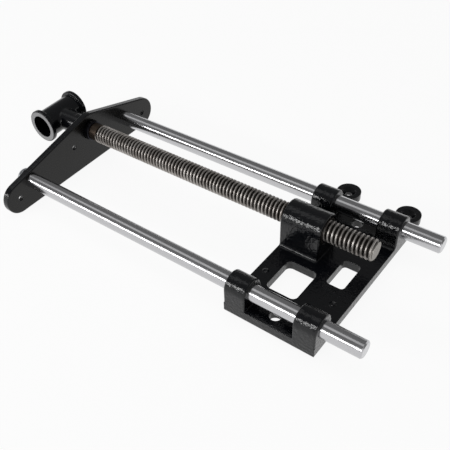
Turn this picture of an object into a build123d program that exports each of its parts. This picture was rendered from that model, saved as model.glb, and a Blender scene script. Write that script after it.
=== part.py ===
from build123d import *
import os

# Front vise for a workbench, lying on the face that bolts under the bench top.
# Origin: centre of that face without its lugs. +X runs from jaw plate to bracket, +Z away from the bench.

# Guide rods and lead screw
rod_r = 8.0
rod_pitch_y = 140.0
rod_z = 23.5
rod_len = 383.0
rod_chamfer = 1.2
rod_seat = 2.0
screw_y = 20.0
screw_z = 35.0
screw_r = 10.0
thread_len = 325.5
screw_chamfer = 2.2
run_gap = 0.05
slip_gap = 0.03
pick_tol = 0.03

# Rear bracket
bracket_len = 89.0
floor_t = 9.0
boss_r = 12.5
boss_len = 21.4
boss_fillet = 5.0
boss_foot = 7.0
cast_edge = 1.5
block_len = 40.0
block_r = 16.0
block_foot = 4.0
block_fillet = 3.0
win_x0 = -26.5
win_x1 = 4.0
win_y0 = -46.5
win_y1 = -7.8
win_corner = 5.0
slot_x0 = 14.0
slot_x1 = 31.0
slot_y0 = -13.0
slot_y1 = 20.8
slot_corner = 3.5
mount_hole_r = 5.5
lug_r = 12.0
lug_neck_w = 15.6
lug_reach = 27.0
lug_pitch_x = 63.0
lug_mid_x = 1.0
lug_t = 8.0
lug_hole_r = 3.5
lug_sink_r = 7.0

# Nut pressed into the bracket's block
nut_r = 13.0
nut_inset = 0.5

# Jaw plate
plate_x = -300.0
plate_t = 8.0
plate_mid_y = 6.1
plate_low_z = -5.0
lobe_reach = 95.5
lobe_r = 17.2
crown_r = 18.5
plate_edge = 1.5
mid_hole_y = -7.2
mid_hole_z = 26.9
wood_hole_r = 3.0
wood_sink_r = 6.0

# Handle hub on the front end of the screw
hub_reach = 42.8
barrel_half = 26.0
barrel_r = 15.2
rim_r = 18.6
rim_len = 5.0
bore_r = 12.8
rim_edge = 1.2
neck_r = 12.0
neck_fillet = 4.0
spigot_r = 7.0
spigot_end_wall = 2.0
hub_pin_r = 1.5
hub_pin_back = 11.5
hub_pin_inset = 0.6

# Screw's bearing in the jaw plate
journal_r = 9.4
journal_len = 9.5
washer_t = 1.4
washer_r = 14.0
end_play = 0.1
collar_r = 11.0
collar_len = 7.0
collar_seat_r = 11.5
collar_seat_depth = 0.5
collar_edge = 0.5
collar_pin_r = 1.5
collar_pin_inset = 0.2

# Screws that hold the rods to the jaw plate
bolt_r = 5.0
bolt_len = 30.0
head_r = 9.5
head_h = 5.5
head_dome = 5.0
flat_t = 1.6
flat_r = 10.0
hex_across = 6.0
hex_depth = 2.5

# Positions worked out from the sizes above
rod_y = rod_pitch_y / 2
bracket_front_x = -bracket_len / 2
bracket_rear_x = bracket_len / 2
bracket_half_y = rod_y + boss_r
lug_y = bracket_half_y + lug_reach
lug_centres_x = (lug_mid_x - lug_pitch_x / 2, lug_mid_x + lug_pitch_x / 2)
lobe_z = plate_low_z + lobe_r
lobe_centres_y = (plate_mid_y - lobe_reach, plate_mid_y + lobe_reach)
rod_front_x = plate_x - rod_seat
rod_rear_x = rod_front_x + rod_len
plate_front_x = plate_x - plate_t
barrel_x = plate_front_x - hub_reach
neck_end_x = plate_front_x - end_play - washer_t
spigot_front_x = barrel_x + bore_r + spigot_end_wall
hub_pin_x = neck_end_x - hub_pin_back
collar_x = plate_x - collar_seat_depth + end_play
collar_pin_x = collar_x + (collar_seat_depth - end_play + collar_len) / 2
thread_x = collar_x + collar_len + journal_len
screw_rear_x = thread_x + thread_len
head_x = plate_front_x - flat_t
bolt_end_x = head_x + bolt_len
boss_centres_x = (bracket_front_x + boss_len / 2, bracket_rear_x - boss_len / 2)

os.makedirs("parts", exist_ok=True)

# Cast iron bracket: four rod bosses, nut block off centre, floor, two lugs beyond the far side
with BuildPart() as rear_bracket:
    with BuildSketch(Plane.YZ.offset(bracket_front_x)) as block_profile:
        with Locations((screw_y, screw_z)):
            Circle(block_r)
        with Locations((screw_y, screw_z / 2)):
            Rectangle(2 * block_r, screw_z)
        with Locations((screw_y, floor_t / 2)):
            Rectangle(2 * (block_r + block_foot), floor_t)
        block_roots = block_profile.vertices().filter_by_position(
            Axis.Y, floor_t - pick_tol, floor_t + pick_tol
        )
        fillet(block_roots.sort_by(lambda v: abs(v.X - screw_y))[:2], block_fillet)
    extrude(amount=block_len)
    for side in (-1, 1):
        for boss_x in boss_centres_x:
            with BuildSketch(Plane.YZ.offset(boss_x - boss_len / 2)) as boss_profile:
                with Locations((side * rod_y, rod_z)):
                    Circle(boss_r)
                with Locations((side * rod_y, rod_z / 2)):
                    Rectangle(2 * boss_r, rod_z)
                with Locations((side * (rod_y - boss_r), floor_t / 2)):
                    Rectangle(2 * boss_foot, floor_t)
                foot_corners = boss_profile.vertices().filter_by_position(
                    Axis.Y, floor_t - pick_tol, floor_t + pick_tol
                )
                fillet(foot_corners.sort_by(lambda v: abs(v.X))[-1], boss_fillet)
            extrude(amount=boss_len)
    end_faces = rear_bracket.faces().filter_by(Axis.X)
    fillet(end_faces.edges().filter_by_position(Axis.Z, pick_tol, screw_z + block_r), cast_edge)
    Box(bracket_len, 2 * bracket_half_y, floor_t, align=(Align.CENTER, Align.CENTER, Align.MIN))
    with BuildSketch(Plane.XY):
        for lug_x in lug_centres_x:
            with Locations((lug_x, lug_y)):
                Circle(lug_r)
            with Locations((lug_x, (lug_y + rod_y) / 2)):
                Rectangle(lug_neck_w, lug_y - rod_y)
    extrude(amount=lug_t)
    with BuildSketch(Plane.XY):
        with Locations(((win_x0 + win_x1) / 2, (win_y0 + win_y1) / 2)):
            RectangleRounded(win_x1 - win_x0, win_y1 - win_y0, win_corner)
        with Locations(((slot_x0 + slot_x1) / 2, (slot_y0 + slot_y1) / 2)):
            RectangleRounded(slot_x1 - slot_x0, slot_y1 - slot_y0, slot_corner)
        with GridLocations(0, rod_pitch_y, 1, 2):
            Circle(mount_hole_r)
    extrude(amount=floor_t, mode=Mode.SUBTRACT)
    with Locations((lug_centres_x[0], lug_y, lug_t), (lug_centres_x[1], lug_y, lug_t)):
        CounterSinkHole(lug_hole_r, lug_sink_r)
    with BuildSketch(Plane.YZ.offset(bracket_front_x)):
        with Locations((-rod_y, rod_z), (rod_y, rod_z)):
            Circle(rod_r + run_gap)
    extrude(amount=bracket_len, mode=Mode.SUBTRACT)
    with BuildSketch(Plane.YZ.offset(bracket_front_x)):
        with Locations((screw_y, screw_z)):
            Circle(nut_r + slip_gap)
    extrude(amount=block_len, mode=Mode.SUBTRACT)
rear_bracket.part.label = "rear_bracket"
export_step(rear_bracket.part, "parts/rear_bracket.step")

# Threaded bush pressed into the block, a little short of its rear face
with BuildPart() as lead_nut:
    with BuildSketch(Plane.YZ.offset(bracket_front_x)):
        with Locations((screw_y, screw_z)):
            Circle(nut_r)
            Circle(screw_r + run_gap, mode=Mode.SUBTRACT)
    extrude(amount=block_len - nut_inset)
lead_nut.part.label = "lead_nut"
export_step(lead_nut.part, "parts/lead_nut.step")

# Jaw plate with rounded ends, rising to a crown round the screw
with BuildPart() as jaw_plate:
    with BuildSketch(Plane.YZ.offset(plate_front_x)):
        for lobe_y in lobe_centres_y:
            with Locations((lobe_y, lobe_z)):
                Circle(lobe_r)
        with Locations((screw_y, screw_z)):
            Circle(crown_r)
        make_hull()
    extrude(amount=plate_t)
    rims = jaw_plate.faces().filter_by(Plane.YZ).edges()
    fillet(rims, plate_edge)
    with BuildSketch(Plane.YZ.offset(plate_front_x)):
        with Locations((screw_y, screw_z)):
            Circle(journal_r + run_gap)
        with Locations((-rod_y, rod_z), (rod_y, rod_z)):
            Circle(bolt_r + run_gap)
    extrude(amount=plate_t, mode=Mode.SUBTRACT)
    with BuildSketch(Plane.YZ.offset(plate_x)):
        with Locations((-rod_y, rod_z), (rod_y, rod_z)):
            Circle(rod_r + slip_gap)
    extrude(amount=-rod_seat, mode=Mode.SUBTRACT)
    with BuildSketch(Plane.YZ.offset(plate_x)):
        with Locations((screw_y, screw_z)):
            Circle(collar_seat_r)
    extrude(amount=-collar_seat_depth, mode=Mode.SUBTRACT)
    with Locations(Plane((plate_front_x, 0, 0), x_dir=(0, 1, 0), z_dir=(-1, 0, 0))):
        with Locations(
            (lobe_centres_y[0], -lobe_z), (lobe_centres_y[1], -lobe_z), (mid_hole_y, -mid_hole_z)
        ):
            CounterSinkHole(wood_hole_r, wood_sink_r, depth=plate_t)
jaw_plate.part.label = "jaw_plate"
export_step(jaw_plate.part, "parts/jaw_plate.step")

# Two guide rods, each tapped at the front for its screw
for rod_name, side in (("guide_rod_near", -1), ("guide_rod_far", 1)):
    with BuildPart() as guide_rod:
        with BuildSketch(Plane.YZ.offset(rod_front_x)):
            with Locations((side * rod_y, rod_z)):
                Circle(rod_r)
        extrude(amount=rod_rear_x - rod_front_x)
        chamfer(guide_rod.faces().sort_by(Axis.X)[-1].edges(), rod_chamfer)
        with BuildSketch(Plane.YZ.offset(rod_front_x)):
            with Locations((side * rod_y, rod_z)):
                Circle(bolt_r + slip_gap)
        extrude(amount=bolt_end_x - rod_front_x, mode=Mode.SUBTRACT)
    guide_rod.part.label = rod_name
    export_step(guide_rod.part, "parts/" + rod_name + ".step")

# Flat washers under the heads of the two rod screws
with BuildPart() as rod_washers:
    with BuildSketch(Plane.YZ.offset(head_x)):
        with Locations((-rod_y, rod_z), (rod_y, rod_z)):
            Circle(flat_r)
            Circle(bolt_r + run_gap, mode=Mode.SUBTRACT)
    extrude(amount=flat_t)
rod_washers.part.label = "rod_washers"
export_step(rod_washers.part, "parts/rod_washers.step")

# Domed socket screws that hold the rods to the jaw plate
with BuildPart() as rod_screws:
    with BuildSketch(Plane.YZ.offset(head_x - head_h)):
        with Locations((-rod_y, rod_z), (rod_y, rod_z)):
            Circle(head_r)
    extrude(amount=head_h)
    fillet(rod_screws.edges().filter_by_position(Axis.X, head_x - head_h, head_x - head_h), head_dome)
    with BuildSketch(Plane.YZ.offset(head_x)):
        with Locations((-rod_y, rod_z), (rod_y, rod_z)):
            Circle(bolt_r)
    extrude(amount=bolt_len)
    with BuildSketch(Plane.YZ.offset(head_x - head_h)):
        with Locations((-rod_y, rod_z), (rod_y, rod_z)):
            RegularPolygon(hex_across / 2, 6, major_radius=False)
    extrude(amount=hex_depth, mode=Mode.SUBTRACT)
rod_screws.part.label = "rod_screws"
export_step(rod_screws.part, "parts/rod_screws.step")

# Lead screw: spigot in the hub's neck, journal through the jaw plate and collar, threaded length
with BuildPart() as lead_screw:
    with BuildSketch(Plane.YZ.offset(spigot_front_x)):
        with Locations((screw_y, screw_z)):
            Circle(spigot_r)
    extrude(amount=neck_end_x + slip_gap - spigot_front_x)
    with BuildSketch(Plane.YZ.offset(neck_end_x + slip_gap)):
        with Locations((screw_y, screw_z)):
            Circle(journal_r)
    extrude(amount=thread_x - neck_end_x - slip_gap)
    with BuildSketch(Plane.YZ.offset(thread_x)):
        with Locations((screw_y, screw_z)):
            Circle(screw_r)
    extrude(amount=screw_rear_x - thread_x)
    chamfer(lead_screw.faces().sort_by(Axis.X)[-1].edges(), screw_chamfer)
    with BuildSketch(Plane.XY.offset(screw_z - neck_r)):
        with Locations((hub_pin_x, screw_y)):
            Circle(hub_pin_r + slip_gap)
        with Locations((collar_pin_x, screw_y)):
            Circle(collar_pin_r + slip_gap)
    extrude(amount=2 * neck_r, mode=Mode.SUBTRACT)
lead_screw.part.label = "lead_screw"
export_step(lead_screw.part, "parts/lead_screw.step")

# Handle hub: flanged barrel across the screw and a neck bored for the screw's spigot
with BuildPart() as handle_hub:
    with BuildSketch(Plane.XZ.offset(-screw_y - barrel_half)):
        with Locations((barrel_x, screw_z)):
            Circle(barrel_r)
    extrude(amount=2 * barrel_half)
    for rim_y in (screw_y - barrel_half, screw_y + barrel_half - rim_len):
        with BuildSketch(Plane.XZ.offset(-rim_y - rim_len)):
            with Locations((barrel_x, screw_z)):
                Circle(rim_r)
        extrude(amount=rim_len)
    rims = handle_hub.edges().filter_by(GeomType.CIRCLE).filter_by(lambda e: abs(e.radius - rim_r) < pick_tol)
    fillet(rims, rim_edge)
    with BuildSketch(Plane.YZ.offset(barrel_x)):
        with Locations((screw_y, screw_z)):
            Circle(neck_r)
    extrude(amount=neck_end_x - barrel_x)
    neck_root = (
        handle_hub.edges()
        .filter_by(lambda e: e.geom_type not in (GeomType.CIRCLE, GeomType.LINE))
        .filter_by_position(Axis.X, barrel_x, neck_end_x)
    )
    fillet(neck_root, neck_fillet)
    with BuildSketch(Plane.XZ.offset(-screw_y - barrel_half)):
        with Locations((barrel_x, screw_z)):
            Circle(bore_r)
    extrude(amount=2 * barrel_half, mode=Mode.SUBTRACT)
    with BuildSketch(Plane.YZ.offset(spigot_front_x - slip_gap)):
        with Locations((screw_y, screw_z)):
            Circle(spigot_r + slip_gap)
    extrude(amount=neck_end_x - spigot_front_x + slip_gap, mode=Mode.SUBTRACT)
    with BuildSketch(Plane.XY.offset(screw_z - neck_r)):
        with Locations((hub_pin_x, screw_y)):
            Circle(hub_pin_r + slip_gap)
    extrude(amount=2 * neck_r, mode=Mode.SUBTRACT)
handle_hub.part.label = "handle_hub"
export_step(handle_hub.part, "parts/handle_hub.step")

# Cross pin through the hub's neck and the screw's spigot
with BuildPart() as hub_pin:
    with BuildSketch(Plane.XY.offset(screw_z - neck_r + hub_pin_inset)):
        with Locations((hub_pin_x, screw_y)):
            Circle(hub_pin_r)
    extrude(amount=2 * (neck_r - hub_pin_inset))
hub_pin.part.label = "hub_pin"
export_step(hub_pin.part, "parts/hub_pin.step")

# Thrust washer between the hub's neck and the jaw plate
with BuildPart() as thrust_washer:
    with BuildSketch(Plane.YZ.offset(neck_end_x)):
        with Locations((screw_y, screw_z)):
            Circle(washer_r)
            Circle(journal_r + run_gap, mode=Mode.SUBTRACT)
    extrude(amount=washer_t)
thrust_washer.part.label = "thrust_washer"
export_step(thrust_washer.part, "parts/thrust_washer.step")

# Collar on the journal, in its seat behind the jaw plate
with BuildPart() as stop_collar:
    with BuildSketch(Plane.YZ.offset(collar_x)):
        with Locations((screw_y, screw_z)):
            Circle(collar_r)
    extrude(amount=collar_len)
    chamfer(stop_collar.edges(), collar_edge)
    with BuildSketch(Plane.YZ.offset(collar_x)):
        with Locations((screw_y, screw_z)):
            Circle(journal_r + slip_gap)
    extrude(amount=collar_len, mode=Mode.SUBTRACT)
    with BuildSketch(Plane.XY.offset(screw_z - collar_r)):
        with Locations((collar_pin_x, screw_y)):
            Circle(collar_pin_r + slip_gap)
    extrude(amount=2 * collar_r, mode=Mode.SUBTRACT)
stop_collar.part.label = "stop_collar"
export_step(stop_collar.part, "parts/stop_collar.step")

# Cross pin through the collar and the journal
with BuildPart() as collar_pin:
    with BuildSketch(Plane.XY.offset(screw_z - collar_r + collar_pin_inset)):
        with Locations((collar_pin_x, screw_y)):
            Circle(collar_pin_r)
    extrude(amount=2 * (collar_r - collar_pin_inset))
collar_pin.part.label = "collar_pin"
export_step(collar_pin.part, "parts/collar_pin.step")
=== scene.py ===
import math

import bmesh
import bpy
from mathutils import Matrix, Vector


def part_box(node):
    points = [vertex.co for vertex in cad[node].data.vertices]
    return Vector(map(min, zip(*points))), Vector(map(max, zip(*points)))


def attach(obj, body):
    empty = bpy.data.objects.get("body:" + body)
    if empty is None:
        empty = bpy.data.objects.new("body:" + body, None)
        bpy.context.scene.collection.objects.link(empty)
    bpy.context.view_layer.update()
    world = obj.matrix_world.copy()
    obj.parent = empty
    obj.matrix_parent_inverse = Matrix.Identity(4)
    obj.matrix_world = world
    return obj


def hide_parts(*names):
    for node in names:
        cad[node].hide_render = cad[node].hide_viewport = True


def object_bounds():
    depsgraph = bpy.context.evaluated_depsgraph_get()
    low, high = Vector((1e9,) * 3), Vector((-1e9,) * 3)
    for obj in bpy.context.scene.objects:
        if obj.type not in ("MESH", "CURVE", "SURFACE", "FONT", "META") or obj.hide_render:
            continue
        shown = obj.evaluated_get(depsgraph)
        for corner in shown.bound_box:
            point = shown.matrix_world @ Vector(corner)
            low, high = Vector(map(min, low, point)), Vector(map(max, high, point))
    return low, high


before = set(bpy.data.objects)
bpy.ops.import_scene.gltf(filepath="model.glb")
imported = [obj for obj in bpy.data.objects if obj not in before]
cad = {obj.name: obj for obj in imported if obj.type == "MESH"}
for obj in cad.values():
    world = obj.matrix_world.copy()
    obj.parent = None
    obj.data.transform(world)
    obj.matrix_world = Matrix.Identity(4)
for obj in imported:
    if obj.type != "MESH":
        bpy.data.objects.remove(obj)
cad_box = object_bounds()


# Photograph's viewpoint: above the bracket end of the vise, with the near rod to the right and the
# handle hub at the far left. A 36 mm frame, its centre shifted as the picture is cropped.
def put_in_scene(name, data):
    item = bpy.data.objects.new(name, data)
    bpy.context.scene.collection.objects.link(item)
    return item


film_mm = 36.0
photo_px = 450.0
focal_px = 670.062
centre_px = (177.64, 254.07)
camera_data = bpy.data.cameras.new("camera")
camera_data.sensor_fit = "HORIZONTAL"
camera_data.sensor_width = film_mm
camera_data.lens = film_mm * focal_px / photo_px
camera_data.shift_x = (photo_px / 2.0 - centre_px[0]) / photo_px
camera_data.shift_y = (centre_px[1] - photo_px / 2.0) / photo_px
camera_data.clip_start = 0.01
camera = put_in_scene("camera", camera_data)
camera_place = Vector((0.19419, -0.38376, 0.44111))
view_right = Vector((0.77307, 0.6293, -0.07966)).normalized()
view_forward = Vector((-0.49615, 0.52163, -0.69408)).normalized()
view_up = view_right.cross(view_forward).normalized()
turned = Matrix((view_right, view_up, -view_forward)).transposed()
camera.matrix_world = Matrix.Translation(camera_place) @ turned.to_4x4()
bpy.context.scene.camera = camera


# Plain white board that the vise lies on. It carries only the soft shadow under the vise, and it
# is as wide as needed to fill the view from any side.
def srgb(text):
    parts = [int(text[i:i + 2], 16) / 255.0 for i in (1, 3, 5)]
    return tuple(c / 12.92 if c <= 0.04045 else ((c + 0.055) / 1.055) ** 2.4 for c in parts) + (1.0,)


# A value whose name isn't a setting of the node itself goes to the input of that name.
def add(material, kind, links=None, **values):
    tree = material.node_tree
    node = tree.nodes.new(kind)
    for name, value in values.items():
        if hasattr(node, name):
            setattr(node, name, value)
        else:
            node.inputs[name.replace("_", " ")].default_value = value
    for socket, source in (links or {}).items():
        tree.links.new(source, node.inputs[socket])
    return node


# The second side of a sum is a socket, a plain number, or nothing.
def maths(material, operation, first, second=None):
    node = add(material, "ShaderNodeMath", {0: first}, operation=operation)
    if isinstance(second, bpy.types.NodeSocket):
        material.node_tree.links.new(second, node.inputs[1])
    elif second is not None:
        node.inputs[1].default_value = second
    return node.outputs[0]


def start_material(name):
    material = bpy.data.materials.new(name)
    material.use_nodes = True
    material.node_tree.nodes.clear()
    return material


def finish_material(material, shader):
    add(material, "ShaderNodeOutputMaterial", {"Surface": shader.outputs[0]})
    return material


def white_board(name, bm, lift):
    bmesh.ops.translate(bm, vec=(0.0, 0.0, lift), verts=bm.verts)
    mesh = bpy.data.meshes.new(name)
    bm.to_mesh(mesh)
    bm.free()
    mesh.materials.append(table_paint)
    return put_in_scene(name, mesh)


# Seen directly or in a mirror the board mostly gives plain white light, so that no part of it
# goes grey. What is left shows the shadow.
shown_share = 0.92
table_paint = start_material("matt_white_table_board")
table_ray = add(table_paint, "ShaderNodeLightPath").outputs
table_seen = maths(table_paint, "MAXIMUM", table_ray["Is Camera Ray"], table_ray["Is Glossy Ray"])
table_shown = maths(table_paint, "MAXIMUM", table_seen, table_ray["Is Transmission Ray"])
table_share = maths(table_paint, "MULTIPLY", table_shown, shown_share)
table_matt = add(table_paint, "ShaderNodeBsdfDiffuse", Color=srgb("#f0f0f0"))
table_white = add(table_paint, "ShaderNodeEmission", Color=(1.0, 1.0, 1.0, 1.0))
table_mix = add(table_paint, "ShaderNodeMixShader",
                {0: table_share, 1: table_matt.outputs[0], 2: table_white.outputs[0]})
finish_material(table_paint, table_mix)
table_half = 4.0
table_gap = 0.0002
bm = bmesh.new()
bmesh.ops.create_grid(bm, x_segments=1, y_segments=1, size=table_half)
table = white_board("table", bm, cad_box[0][2] - table_gap)

# Studio round the table: a low white paper wall that closes the view from the side, a dim grey
# room above it, a long strip lamp low beside the near rod, a dim panel overhead, and a soft fill
# that the gloss doesn't mirror. The lamps' long sides run along the rods.
wall_radius = 3.9
wall_height = 0.8
wall_middle_z = 0.39
room_strength = 0.19
bm = bmesh.new()
bmesh.ops.create_cone(bm, cap_ends=False, segments=96, radius1=wall_radius, radius2=wall_radius,
                      depth=wall_height)
bmesh.ops.reverse_faces(bm, faces=bm.faces)
wall = white_board("paper_wall", bm, wall_middle_z)
studio = bpy.data.worlds.new("dim_grey_room")
studio.use_nodes = True
studio.node_tree.nodes.clear()
room = add(studio, "ShaderNodeBackground", Color=(1.0, 1.0, 1.0, 1.0), Strength=room_strength)
add(studio, "ShaderNodeOutputWorld", {"Surface": room.outputs[0]})
bpy.context.scene.world = studio
for lamp_name, lamp_place, width, length, power, mirrored in (
    ("strip_lamp", (-1.0, -1.5, 0.74), 0.18, 2.0, 18.0, True),
    ("overhead_panel", (-0.75, -0.09, 1.17), 0.5, 1.3, 1.1, True),
    ("soft_fill", (-0.1, 0.0, 2.0), 2.0, 2.0, 14.0, False),
):
    lamp_data = bpy.data.lights.new(lamp_name, "AREA")
    lamp_data.shape = "RECTANGLE"
    lamp_data.size = length
    lamp_data.size_y = width
    lamp_data.energy = power
    lamp = put_in_scene(lamp_name, lamp_data)
    lamp.location = lamp_place
    lamp_aim = Vector((0.0, -lamp_place[1], -lamp_place[2]))
    lamp.rotation_euler = lamp_aim.to_track_quat("-Z", "Y").to_euler()
    lamp.visible_glossy = mirrored
bpy.context.scene.view_settings.view_transform = "Standard"


# Bracket: grey cast iron under dipped gloss black enamel. The sand casting's skin shows through
# the paint as soft lumps 2 to 4 mm across and a finer pebble, and two round marks on the floor
# show where gates were broken off.
def noise(material, place, grain_mm, detail, roughness=0.5):
    node = add(material, "ShaderNodeTexNoise", {"Vector": place}, Scale=1000.0 / grain_mm,
               Detail=detail, Roughness=roughness)
    return node.outputs["Fac"]


# Noise seldom leaves this range.
noise_range = (0.3, 0.7)


def spread(material, source, low, high, to_low=0.0, to_high=1.0, curve="LINEAR"):
    node = add(material, "ShaderNodeMapRange", {"Value": source}, interpolation_type=curve,
               From_Min=low, From_Max=high, To_Min=to_low, To_Max=to_high)
    return node.outputs[0]


# Each of the two colours is a plain colour or a socket.
def blend(material, share, first, second):
    node = add(material, "ShaderNodeMixRGB", {"Fac": share})
    for socket, colour in ((node.inputs["Color1"], first), (node.inputs["Color2"], second)):
        if isinstance(colour, bpy.types.NodeSocket):
            material.node_tree.links.new(colour, socket)
        else:
            socket.default_value = colour
    return node.outputs[0]


# How far a point lies from a centre, measured in the plane of two axes.
def reach_from(material, first, second, centre):
    flat = add(material, "ShaderNodeCombineXYZ", {"X": first, "Y": second})
    node = add(material, "ShaderNodeVectorMath", {0: flat.outputs[0]}, operation="DISTANCE")
    node.inputs[1].default_value = (centre[0], centre[1], 0.0)
    return node.outputs["Value"]


def dipped_enamel(name, colour, roughness, lump_mm, lump_depth):
    pebble_mm = 0.9
    pebble_depth = 0.00006
    pebble_gain = 1.7
    edge_radius = 0.0012
    lighter = tuple(min(1.0, c * pebble_gain) for c in colour[:3]) + (1.0,)
    material = start_material(name)
    place = add(material, "ShaderNodeTexCoord").outputs["Object"]
    lumps = noise(material, place, lump_mm, detail=2.0)
    pebble = noise(material, place, pebble_mm, detail=3.0, roughness=0.55)
    worn_edge = add(material, "ShaderNodeBevel", samples=6, Radius=edge_radius)
    skin = add(material, "ShaderNodeBump", {"Height": lumps, "Normal": worn_edge.outputs[0]},
               Strength=1.0, Distance=lump_depth)
    grit = add(material, "ShaderNodeBump", {"Height": pebble, "Normal": skin.outputs[0]},
               Strength=0.6, Distance=pebble_depth)
    patchy = spread(material, lumps, *noise_range, roughness - 0.04, roughness + 0.08)
    tint = blend(material, pebble, colour, lighter)
    paint = add(material, "ShaderNodeBsdfPrincipled",
                {"Base Color": tint, "Roughness": patchy, "Normal": grit.outputs[0]}, IOR=1.45)
    return material, place, paint


def dress(node, material):
    mesh = cad[node].data
    mesh.materials.clear()
    mesh.materials.append(material)


black = srgb("#06070a")
bracket_enamel, bracket_place, bracket_paint = dipped_enamel(
    "gloss_black_enamel_on_cast_iron", black, roughness=0.12, lump_mm=2.6, lump_depth=0.00042)
mark_above_z = 0.005
gate_rim_r = (0.0022, 0.0036)
gate_cup_r = (0.0006, 0.002)
gate_height = 0.0006
bracket_at = add(bracket_enamel, "ShaderNodeSeparateXYZ", {0: bracket_place}).outputs
on_top = maths(bracket_enamel, "GREATER_THAN", bracket_at["Z"], mark_above_z)
for gate_place in ((-0.036, -0.031), (0.032, -0.032)):
    gate_reach = reach_from(bracket_enamel, bracket_at["X"], bracket_at["Y"], gate_place)
    gate_rim = spread(bracket_enamel, gate_reach, *gate_rim_r, 1.0, 0.0, "SMOOTHSTEP")
    gate_cup = spread(bracket_enamel, gate_reach, *gate_cup_r, 0.3, 1.0, "SMOOTHSTEP")
    gate_shape = maths(bracket_enamel, "MULTIPLY", gate_rim, gate_cup)
    gate_mark = maths(bracket_enamel, "MULTIPLY", gate_shape, on_top)
    under_mark = bracket_paint.inputs["Normal"].links[0].from_socket
    gate_bump = add(bracket_enamel, "ShaderNodeBump", {"Height": gate_mark, "Normal": under_mark},
                    Strength=1.0, Distance=gate_height)
    bracket_enamel.node_tree.links.new(gate_bump.outputs[0], bracket_paint.inputs["Normal"])
finish_material(bracket_enamel, bracket_paint)
dress("rear_bracket", bracket_enamel)

# Jaw plate: the same dipped casting. Its inner face is rubbed down to a satin dark grey in which
# the screw and rods are mirrored, and its rim keeps the gloss.
plate_enamel, plate_place, plate_paint = dipped_enamel(
    "black_enamel_with_rubbed_face", black, roughness=0.16, lump_mm=3.0, lump_depth=0.0002)
inner_face_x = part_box("jaw_plate")[1][0]
face_margin = 0.0002
plate_at = add(plate_enamel, "ShaderNodeSeparateXYZ", {0: plate_place}).outputs
rubbed = maths(plate_enamel, "GREATER_THAN", plate_at["X"], inner_face_x - face_margin)
scuff = noise(plate_enamel, plate_place, grain_mm=20.0, detail=4.0)
scuff_tint = blend(plate_enamel, scuff, srgb("#0c0c0b"), srgb("#141311"))
scuff_polish = spread(plate_enamel, scuff, *noise_range, 0.22, 0.3)
rubbed_paint = add(plate_enamel, "ShaderNodeBsdfPrincipled",
                   {"Base Color": scuff_tint, "Roughness": scuff_polish}, IOR=1.38)
plate_mix = add(plate_enamel, "ShaderNodeMixShader",
                {0: rubbed, 1: plate_paint.outputs[0], 2: rubbed_paint.outputs[0]})
finish_material(plate_enamel, plate_mix)
dress("jaw_plate", plate_enamel)


# Guide rods: ground bright bar with a thin plated finish. Grinding leaves fine rings 1 mm apart
# and a faint drift in the polish.
def bright_bar(name, colour, roughness, ring_mm, along="X"):
    ring_depth = 0.000003
    drift_per_metre = 60.0
    # The wave texture draws this many bands to one unit of its scale.
    bands_per_unit = 20.0 / (2.0 * math.pi)
    material = start_material(name)
    place = add(material, "ShaderNodeTexCoord").outputs["Object"]
    rings = add(material, "ShaderNodeTexWave", {"Vector": place}, wave_type="BANDS",
                bands_direction=along, Scale=1000.0 / ring_mm / bands_per_unit, Distortion=1.5,
                Detail=1.0)
    drift = add(material, "ShaderNodeTexNoise", {"Vector": place}, Scale=drift_per_metre, Detail=3.0)
    polish = spread(material, drift.outputs["Fac"], *noise_range, roughness - 0.02, roughness + 0.03)
    marks = add(material, "ShaderNodeBump", {"Height": rings.outputs["Fac"]}, Strength=0.3,
                Distance=ring_depth)
    metal = add(material, "ShaderNodeBsdfPrincipled",
                {"Roughness": polish, "Normal": marks.outputs[0]}, Base_Color=colour, Metallic=1.0)
    return finish_material(material, metal)


rod_plating = bright_bar("bright_plated_ground_bar", srgb("#c2c2c4"), roughness=0.19, ring_mm=1.0)
dress("guide_rod_near", rod_plating)
dress("guide_rod_far", rod_plating)

# Rod screws, which hold the jaw plate to the rods: turned steel with a bright zinc plate, a
# little bluish and duller than the bright bar.
zinc = bright_bar("bright_zinc_plate_on_steel", srgb("#b9bcc0"), roughness=0.28, ring_mm=0.8)
dress("rod_screws", zinc)

# Washers under the rod screws' heads: stamped from steel sheet and plated in the same zinc
# bath as the screws.
dress("rod_washers", zinc)

# Nut in the bracket's block: a steel bush, turned, tapped and pressed in, and dark with oil. Only
# its end rings show.
nut_steel = bright_bar("turned_oiled_steel", srgb("#6d6863"), roughness=0.36, ring_mm=0.6)
dress("lead_nut", nut_steel)

# Collar behind the jaw plate: turned steel blackened in hot oxide. It takes the pull when the
# jaw is opened.
black_oxide = bright_bar("black_oxide_on_turned_steel", srgb("#2c2c31"), roughness=0.34, ring_mm=0.6)
dress("stop_collar", black_oxide)

# Cross pins: one of ground steel through the collar and the screw, another through the hub's neck
# and the screw's spigot, both driven in and ground flush.
pin_steel = bright_bar("ground_pin_steel", srgb("#8a8a8c"), roughness=0.3, ring_mm=0.6, along="Z")
dress("collar_pin", pin_steel)
dress("hub_pin", pin_steel)

# Thrust washer between hub and jaw plate: punched from plain steel sheet and slipped over the
# screw before the hub goes on.
sheet_steel = bright_bar("punched_plain_steel", srgb("#77777a"), roughness=0.35, ring_mm=0.8)
dress("thrust_washer", sheet_steel)

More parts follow.
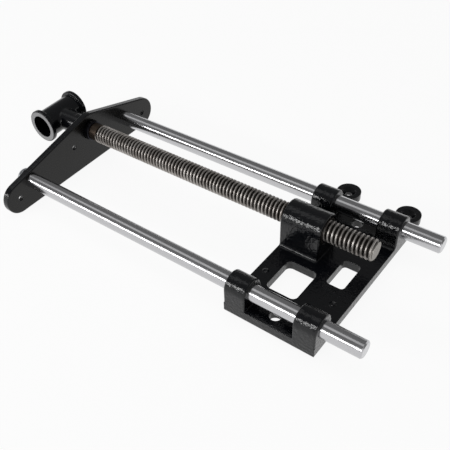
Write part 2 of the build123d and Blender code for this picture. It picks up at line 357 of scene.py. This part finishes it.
# Handle hub: cast iron in the same gloss enamel, with both end faces faced bright on the lathe
# and left bare. The facing tool leaves rings round the bore.
hub_low, hub_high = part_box("handle_hub")
hub_middle = (hub_low + hub_high) / 2.0
hub_half = (hub_high[1] - hub_low[1]) / 2.0
hub_rim_r = 0.0186
faced_r = 0.0174
tool_feed_mm = 0.45
tool_depth = 0.000008
hub_enamel, hub_place, hub_paint = dipped_enamel(
    "gloss_black_enamel_with_faced_ends", black, roughness=0.16, lump_mm=4.0, lump_depth=0.0001)
hub_at = add(hub_enamel, "ShaderNodeSeparateXYZ", {0: hub_place}).outputs
centred = maths(hub_enamel, "SUBTRACT", hub_at["Y"], hub_middle[1])
outward = maths(hub_enamel, "ABSOLUTE", centred)
on_end_face = maths(hub_enamel, "GREATER_THAN", outward, hub_half - face_margin)
bore_centre = (hub_low[0] + hub_rim_r, hub_middle[2])
hub_reach = reach_from(hub_enamel, hub_at["X"], hub_at["Z"], bore_centre)
within = maths(hub_enamel, "LESS_THAN", hub_reach, faced_r)
faced_ring = maths(hub_enamel, "MULTIPLY", on_end_face, within)
tool_turns = maths(hub_enamel, "MULTIPLY", hub_reach, 2.0 * math.pi * 1000.0 / tool_feed_mm)
tool_wave = maths(hub_enamel, "SINE", tool_turns)
tool_marks = add(hub_enamel, "ShaderNodeBump", {"Height": tool_wave}, Strength=0.5,
                 Distance=tool_depth)
iron_grain = noise(hub_enamel, hub_place, grain_mm=1.5, detail=4.0)
iron_tint = blend(hub_enamel, iron_grain, srgb("#8f8f90"), srgb("#a5a5a6"))
bare_iron = add(hub_enamel, "ShaderNodeBsdfPrincipled",
                {"Base Color": iron_tint, "Normal": tool_marks.outputs[0]}, Metallic=1.0, Roughness=0.5)
hub_mix = add(hub_enamel, "ShaderNodeMixShader",
              {0: faced_ring, 1: hub_paint.outputs[0], 2: bare_iron.outputs[0]})
finish_material(hub_enamel, hub_mix)
dress("handle_hub", hub_enamel)

# Lead screw: 20 mm steel bar with a rolled right-hand trapezoidal thread of 4 mm pitch, a plain
# brown-tinged journal behind the collar with painted shade on it, and a chamfered rear end.
screw_low, screw_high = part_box("lead_screw")
screw_y = (screw_low[1] + screw_high[1]) / 2.0
screw_z = (screw_low[2] + screw_high[2]) / 2.0
crest_r = (screw_high[1] - screw_low[1]) / 2.0
pitch = 0.004
thread_depth = 0.00215
thread_length = 0.3255
thread_start = screw_high[0] - thread_length
end_chamfer = 0.0013
journal_r = 0.0094
journal_chamfer = 0.0006
spigot_r = 0.007
shoulder_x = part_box("thrust_washer")[0][0]
screw_axis = Vector((0.0, screw_y, screw_z))
along_x = (1.0, 0.0, 0.0)
merge_gap = 0.00001
# Share of the pitch along the screw, and share of the thread's depth inward from the crest.
ridge = (
    (0.0, 0.1), (0.05, 0.0), (0.30, 0.0), (0.35, 0.1), (0.48, 0.95), (0.54, 1.0), (0.82, 1.0),
    (0.88, 0.95), (1.0, 0.1),
)
first_turn_x = thread_start - 1.5 * pitch
bm = bmesh.new()
chain = [bm.verts.new((first_turn_x + u * pitch, screw_y, screw_z + crest_r - h * thread_depth))
         for u, h in ridge]
edges = [bm.edges.new(pair) for pair in zip(chain, chain[1:])]
turn_steps = 40
bmesh.ops.spin(bm, geom=chain + edges, cent=screw_axis, axis=along_x,
               dvec=(pitch / turn_steps, 0.0, 0.0), angle=2.0 * math.pi, steps=turn_steps,
               use_merge=False)
turns = math.ceil((screw_high[0] - thread_start) / pitch) + 3
done = 1
while done < turns:
    again = bmesh.ops.duplicate(bm, geom=bm.verts[:] + bm.edges[:] + bm.faces[:])
    bmesh.ops.translate(bm, vec=(done * pitch, 0.0, 0.0),
                        verts=[v for v in again["geom"] if isinstance(v, bmesh.types.BMVert)])
    done *= 2
bmesh.ops.remove_doubles(bm, verts=bm.verts, dist=merge_gap)
for cut_x, outside in ((thread_start, (-1.0, 0.0, 0.0)), (screw_high[0], along_x)):
    cut = bmesh.ops.bisect_plane(bm, geom=bm.verts[:] + bm.edges[:] + bm.faces[:],
                                 plane_co=(cut_x, 0.0, 0.0), plane_no=outside, clear_outer=True)
    loop = [e for e in cut["geom_cut"] if isinstance(e, bmesh.types.BMEdge)]
    bmesh.ops.contextual_create(bm, geom=loop)
for vert in bm.verts:
    off = Vector((0.0, vert.co.y - screw_y, vert.co.z - screw_z))
    limit = crest_r - end_chamfer + (screw_high[0] - vert.co.x)
    if off.length > limit:
        vert.co = Vector((vert.co.x, screw_y, screw_z)) + off.normalized() * limit
bmesh.ops.recalc_face_normals(bm, faces=bm.faces)
# The plain front end, from the spigot to the journal, turned as one closed body.
outline = (
    (screw_low[0], 0.0),
    (screw_low[0], spigot_r),
    (shoulder_x, spigot_r),
    (shoulder_x, journal_r),
    (thread_start - journal_chamfer, journal_r),
    (thread_start, journal_r - journal_chamfer),
    (thread_start, 0.0),
)
stem = bmesh.new()
chain = [stem.verts.new((x, screw_y, screw_z + r)) for x, r in outline]
edges = [stem.edges.new(pair) for pair in zip(chain, chain[1:])]
bmesh.ops.spin(stem, geom=chain + edges, cent=screw_axis, axis=along_x, angle=2.0 * math.pi,
               steps=64, use_merge=True)
bmesh.ops.remove_doubles(stem, verts=stem.verts, dist=merge_gap)
bmesh.ops.recalc_face_normals(stem, faces=stem.faces)
stem_mesh = bpy.data.meshes.new("stem")
stem.to_mesh(stem_mesh)
stem.free()
bm.from_mesh(stem_mesh)
bpy.data.meshes.remove(stem_mesh)
screw_mesh = bpy.data.meshes.new("threaded_screw")
bm.to_mesh(screw_mesh)
bm.free()
for face in screw_mesh.polygons:
    face.use_smooth = len(face.vertices) <= 4
sharp_degrees = 40.0
screw_mesh.set_sharp_from_angle(angle=math.radians(sharp_degrees))
threaded_screw = put_in_scene("threaded_screw", screw_mesh)
# Bright crests, painted shade in the grooves, a brown journal with painted shade, and an even grey rear
# end.
unshaded_crest_depth = 0.0004
rolled_steel = start_material("rolled_oiled_screw_steel")
screw_place = add(rolled_steel, "ShaderNodeTexCoord").outputs["Object"]
screw_at = add(rolled_steel, "ShaderNodeSeparateXYZ", {0: screw_place}).outputs
blotch = noise(rolled_steel, screw_place, grain_mm=14.0, detail=4.0)
streak = noise(rolled_steel, screw_place, grain_mm=1.2, detail=2.0)
oil = spread(rolled_steel, blotch, 0.35, 0.7)
crest_tint = blend(rolled_steel, oil, srgb("#bdb9b5"), srgb("#88827d"))
height = reach_from(rolled_steel, screw_at["Y"], screw_at["Z"], (screw_y, screw_z))
above_groove = spread(rolled_steel, height, crest_r - thread_depth, crest_r - unshaded_crest_depth)
# Painted shade: the colour darkens from the crest tint to near black down in the grooves.
groove_shade_tint = blend(rolled_steel, above_groove, srgb("#2b2724"), crest_tint)
# The journal's dark brown is partly the steel's brown tinge and partly painted shade close to the jaw
# plate.
on_journal = maths(rolled_steel, "LESS_THAN", screw_at["X"], thread_start + face_margin)
journal_shade_tint = blend(rolled_steel, on_journal, groove_shade_tint, srgb("#4d433b"))
on_end = maths(rolled_steel, "GREATER_THAN", screw_at["X"], screw_high[0] - end_chamfer)
end_tint = blend(rolled_steel, on_end, journal_shade_tint, srgb("#999590"))
screw_polish = spread(rolled_steel, streak, *noise_range, 0.4, 0.55)
screw_metal = add(rolled_steel, "ShaderNodeBsdfPrincipled",
                  {"Base Color": end_tint, "Roughness": screw_polish}, Metallic=1.0)
finish_material(rolled_steel, screw_metal)
screw_mesh.materials.append(rolled_steel)
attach(threaded_screw, "spindle")
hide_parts("lead_screw")
